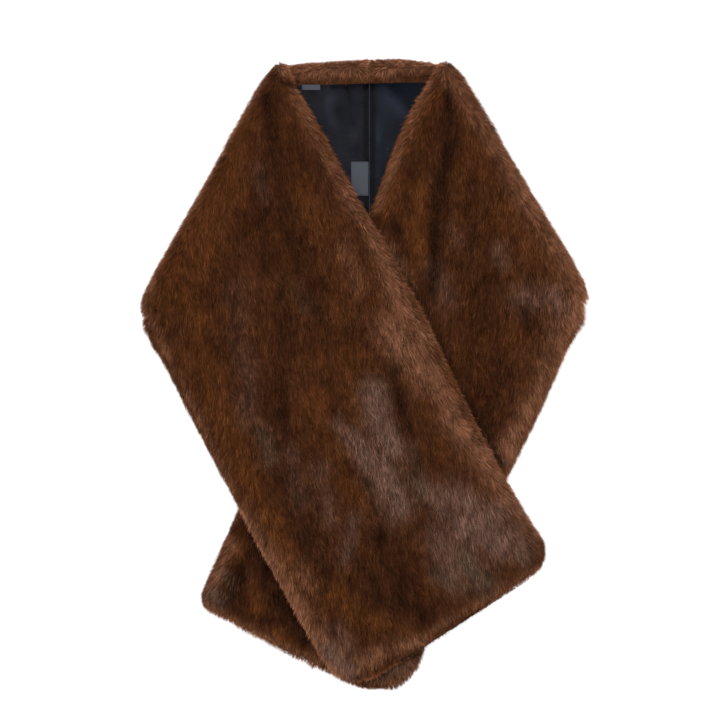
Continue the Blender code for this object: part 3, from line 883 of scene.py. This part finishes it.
# %% Pieces of pile
MOST_BLADES = 92000
pile_pieces = {half: [] for half in HALVES}
for half, seed in (("left", 21), ("right", 31)):
    corners, place, colours = blades(half, seed)
    order = np.argsort(-place[:, 1])
    parts = int(np.ceil(len(order) / MOST_BLADES))
    for number, chosen in enumerate(np.array_split(order, parts), 1):
        chosen = np.sort(chosen)
        piece = pile_piece(f"pile_{half}_{number}", corners[chosen], place[chosen],
                           {kind: values[chosen] for kind, values in colours.items()}, hair)
        pile_pieces[half].append(piece)
        print(piece.name, len(piece.data.polygons), "triangles")

# %% [markdown]
# ## The satin lining
#
# Only the lining of the back neck shows, inside the V. It is thin satin, so it isn't quite flat: there is a
# soft ease pleat beside the centre back seam, and shallow creases run from the neck and the label. A cloth
# simulation would put its creases where it likes. These are placed one by one, as strokes whose strength is
# their rise in millimetres, as the patches of the pile were.

# %% Creases of the lining
CREASES = (
    (6.9, 350.5, 6.9, 203.5, 1.3, 0.9),
    (3.1, 350.5, 3.1, 254.5, 3.0, -0.8),
    (10.7, 348.5, 10.3, 213.5, 2.6, -0.8),
    (-56.5, 345.5, -24.5, 320.5, 4.0, 1.2),
    (-44.5, 328.5, -12.5, 304.5, 4.5, -1.0),
    (-34.5, 298.5, -10.5, 284.5, 3.6, 1.1),
    (-46.5, 338.5, -38.5, 294.5, 4.2, 0.9),
    (-30.5, 260.5, -12.5, 260.5, 3.0, 0.8),
    (-26.5, 274.5, -8.5, 270.5, 3.0, -0.8),
    (17.5, 340.5, 49.5, 324.5, 4.0, 1.2),
    (15.5, 314.5, 43.5, 298.5, 4.6, -1.1),
    (13.5, 290.5, 33.5, 264.5, 3.6, 1.0),
    (-20.5, 348.5, -16.5, 324.5, 3.2, -0.9),
)


def creased_height(points):
    """How far the creases lift these points of the lining, or sink them."""
    height = np.zeros(len(points))
    for ax, ay, bx, by, radius, rise in CREASES:
        height += rise * MM * brushed(points, ((ax, ay, bx, by, radius, 1.0),))
    return height


print(len(CREASES), "creases")

# %% [markdown]
# ## The finish of the satin, and its painted shade
#
# Satin is woven so that long threads lie on top, which gives its soft gloss. A glossy dark cloth mirrors a
# white sky and turns grey, so here the gloss is low, and the creases are given painted shade in their troughs
# and a painted highlight on their ridges. The two halves differ a little in tint. The turned edges of the seam
# show as two bands of painted shade either side of a thin painted highlight.

# %% Satin material
satin, satin_tree, satin_shader = new_material(
    "lining_satin", 0.38, Specular_IOR_Level=0.08, Sheen_Weight=0.02, Sheen_Roughness=0.4, Anisotropic=0.4)
place = node(satin_tree, "ShaderNodeTexCoord").outputs["Object"]
cloud = node(satin_tree, "ShaderNodeTexNoise", {"Vector": place, "Scale": 26.0, "Detail": 3.0}).outputs[0]
across = node(satin_tree, "ShaderNodeSeparateXYZ", {0: place}).outputs[0]
side = maths(satin_tree, "GREATER_THAN", across, SEAM_X)
from_seam = maths(satin_tree, "ABSOLUTE", maths(satin_tree, "SUBTRACT", across, SEAM_X))
# A thin painted highlight along the seam, with bands of painted shade either side.
seam_shade_and_highlight = ramp(satin_tree, maths(satin_tree, "MULTIPLY", from_seam, 100.0), (
    (0.0, (1.5, 1.5, 1.6)), (0.04, (1.3, 1.3, 1.4)), (0.1, (0.35, 0.35, 0.38)), (0.6, (0.42, 0.42, 0.46)),
    (0.95, (1.0, 1.0, 1.0))))
left_tint = ramp(satin_tree, cloud, ((0.3, (0.0040, 0.0044, 0.0070)), (0.7, (0.0088, 0.0090, 0.0138))))
right_tint = ramp(satin_tree, cloud, ((0.3, (0.0035, 0.0048, 0.0088)), (0.7, (0.0082, 0.0104, 0.0170))))
tint = blend_colours(satin_tree, side, left_tint, right_tint)
crease = attribute(satin_tree, "crease").outputs["Fac"]
# Painted shade in the troughs of the creases and a painted highlight on their ridges, from their rise in
# millimetres.
crease_shade_and_highlight = ramp(satin_tree, maths(satin_tree, "ADD", 0.5, maths(satin_tree, "MULTIPLY", crease, 0.5)), (
    (0.0, (0.25, 0.25, 0.27)), (0.5, (1.0, 1.0, 1.0)), (1.0, (1.9, 1.9, 1.95))))
tint = blend_colours(satin_tree, 1.0, tint, crease_shade_and_highlight, "MULTIPLY")
tint = blend_colours(satin_tree, 1.0, tint, seam_shade_and_highlight, "MULTIPLY")
satin_tree.links.new(tint, satin_shader.inputs["Base Color"])
weave = node(satin_tree, "ShaderNodeTexWave", {"Vector": place, "Scale": 900.0, "Distortion": 1.0})
ripple = node(satin_tree, "ShaderNodeTexNoise", {"Vector": place, "Scale": 70.0, "Detail": 4.0}).outputs[0]
height = maths(satin_tree, "ADD", maths(satin_tree, "MULTIPLY", weave.outputs["Fac"], 0.03), ripple)
bump = node(satin_tree, "ShaderNodeBump", {"Strength": 0.6, "Distance": 0.004, "Height": height})
satin_tree.links.new(bump.outputs[0], satin_shader.inputs["Normal"])
print("satin material:", len(satin_tree.nodes), "nodes")

# %% [markdown]
# ## The lining in its place
#
# The frame's lining is a thin closed wall with few points, too few for a crease. Only the panel inside the V is
# cut finer, because the rest is never seen, and its points are moved up and down by the creases. The two
# halves are drawn together at the seam, as if sewn.

# %% Satin pieces
VISIBLE_X = 95 * MM
VISIBLE_LOW = 190 * MM
PANEL_TOP = 9.3 * MM
PANEL_CUTS = 15


def on_panel(place, level, reach):
    """True inside the V, within this reach of this level."""
    return abs(place.x) < VISIBLE_X and place.y > VISIBLE_LOW and abs(place.z - level) < reach


for half in HALVES:
    form = merged_copy("lining_" + half)
    crease_layer = form.verts.layers.float.new("crease")
    shown = [face for face in form.faces if on_panel(face.calc_center_median(), PANEL_TOP, 1.2 * MM)]
    edges = list({edge for face in shown for edge in face.edges})
    bmesh.ops.subdivide_edges(form, edges=edges, cuts=PANEL_CUTS, use_grid_fill=True)
    form.normal_update()
    flat_points = [point for point in form.verts
                   if on_panel(point.co, PANEL_TOP - 0.5 * MM, 0.7 * MM)]
    heights = creased_height(np.array([point.co for point in flat_points]))
    for point, rise in zip(flat_points, heights):
        point.co.z += rise
        point[crease_layer] = rise / MM
    for point in form.verts:
        if at_seam(point):
            point.co.x = seam_side(half)
    piece = finish_piece(form, "satin_" + half, satin)
    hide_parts("lining_" + half)
    print(piece.name, len(piece.data.polygons), "faces,", len(flat_points), "points creased")

# %% [markdown]
# ## The labels
#
# A woven label is a soft tape with both ends turned under and caught by a few stitches. It is left bare. The
# little tab under the roll of fur at the left of the neck is the end of a care label, also bare. Its weave is
# finer than the picture shows, so it is made by two crossing waves in the material, and not by threads.

# %% Tape material
tape, tape_tree, tape_shader = new_material("label_tape", 0.65, Specular_IOR_Level=0.2, Sheen_Weight=0.04)
place = node(tape_tree, "ShaderNodeTexCoord").outputs["Object"]
threads = node(tape_tree, "ShaderNodeTexWave", {"Vector": place, "Scale": 620.0, "Distortion": 0.6})
ribs = node(tape_tree, "ShaderNodeTexWave", {"Vector": place, "Scale": 460.0}, bands_direction="Y")
weave = maths(tape_tree, "MULTIPLY", threads.outputs["Fac"], ribs.outputs["Fac"])
tape_tree.links.new(
    ramp(tape_tree, weave, ((0.0, (0.045, 0.05, 0.062)), (1.0, (0.085, 0.092, 0.112)))),
    tape_shader.inputs["Base Color"])
bump = node(tape_tree, "ShaderNodeBump", {"Strength": 0.5, "Distance": 0.0004, "Height": weave})
tape_tree.links.new(bump.outputs[0], tape_shader.inputs["Normal"])

print("tape material:", len(tape_tree.nodes), "nodes")

# %% [markdown]
# ## Two tapes
#
# A tape is drawn from its side, as one line that turns under at both ends and bows a little in the middle. That
# line is extruded to the width of the label and given a thickness. A flat box would be quicker, but it would
# have sharp ends, with no fold to catch the light.

# %% Tape pieces
TAPE_THICKNESS = 0.28 * MM


def turned_tape(name, left, right, path, material):
    """A tape across x, whose side follows the path of y and z, with its ends turned under."""
    form = bmesh.new()
    points = [form.verts.new((left, y, z)) for y, z in path]
    edges = [form.edges.new(pair) for pair in zip(points, points[1:])]
    made = bmesh.ops.extrude_edge_only(form, edges=edges)["geom"]
    moved = [item for item in made if isinstance(item, bmesh.types.BMVert)]
    bmesh.ops.translate(form, verts=moved, vec=(right - left, 0.0, 0.0))
    across = [edge for edge in form.edges if abs(edge.verts[0].co.x - edge.verts[1].co.x) > 1e-4]
    bmesh.ops.subdivide_edges(form, edges=across, cuts=10)
    bmesh.ops.recalc_face_normals(form, faces=form.faces)
    bmesh.ops.solidify(form, geom=form.faces[:], thickness=TAPE_THICKNESS)
    return finish_piece(form, name, material)


def label_path(low, high, base, turn, bow):
    """The side of a tape: turned under by the turn at both ends, and slightly bowed in the middle."""
    top = base + 2.2 * TAPE_THICKNESS
    path = [(low + turn, base), (low + 0.4 * turn, base), (low + 0.3 * MM, base)]
    path += [(low, base + 1.1 * TAPE_THICKNESS), (low + 0.3 * MM, top)]
    for share in np.linspace(0.06, 0.94, 15):
        path.append((low + share * (high - low), top + bow * np.sin(np.pi * share)))
    path += [(high - 0.3 * MM, top), (high, base + 1.1 * TAPE_THICKNESS)]
    path += [(high - 0.3 * MM, base), (high - 0.4 * turn, base), (high - turn, base)]
    return path


neck_low, neck_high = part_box("neck_label")
label_base = neck_low[2] + 0.35 * MM
neck_tape = turned_tape(
    "neck_tape", neck_low[0], neck_high[0],
    label_path(neck_low[1], neck_high[1], label_base, 5 * MM, 0.25 * MM), tape)
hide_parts("neck_label")

care_low, care_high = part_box("care_label")
care_base = care_low[2] + 0.3 * MM
care_tab = turned_tape(
    "care_tab", care_low[0], care_high[0],
    label_path(care_low[1], care_high[1], care_base, 2.4 * MM, 0.1 * MM), tape)
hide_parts("care_label")
print("neck label, in millimetres:", [round(value / MM, 1) for value in (*neck_low, *neck_high)])

# %% [markdown]
# ## Stitches of the neck label
#
# The label is caught down by a short row of stitches at each end. A stitch is a small, plump grain of thread,
# so each is a round ball stretched to its length. A line drawn in the material would stay flat.

# %% Stitches of the neck label
STITCH = (1.9 * MM, 0.36 * MM, 0.3 * MM)
STITCH_INSET = 1.3 * MM
STITCH_STEP = 2.9 * MM

thread = new_material("label_thread", 0.6, Base_Color=(0.03, 0.032, 0.04, 1.0))[0]
form = bmesh.new()
spots = []
for y in (neck_low[1] + STITCH_INSET, neck_high[1] - STITCH_INSET):
    for x in np.arange(neck_low[0] + 1.6 * MM, neck_high[0] - 1.0 * MM, STITCH_STEP):
        spots.append((x, y))
for x, y in spots:
    made = bmesh.ops.create_icosphere(form, subdivisions=1, radius=0.5)["verts"]
    bmesh.ops.scale(form, verts=made, vec=STITCH)
    bmesh.ops.translate(form, verts=made, vec=(x, y, label_base + 3.0 * TAPE_THICKNESS))
stitches = finish_piece(form, "label_stitches", thread)
print(len(spots), "stitches")

# %% [markdown]
# ## The cut of the cloth, and a count of faces
#
# Each half of the fur was cut as one strip, wide enough to turn its edges to the back. The lining was cut to
# the strip inside those turnings. The copies of the fur are freed here, and the faces of all shown pieces are
# counted.

for form in fur_forms.values():
    form.free()
total = sum(len(piece.data.polygons) for piece in bpy.data.objects
            if piece.type == "MESH" and not piece.hide_render)
print("faces in all:", total)
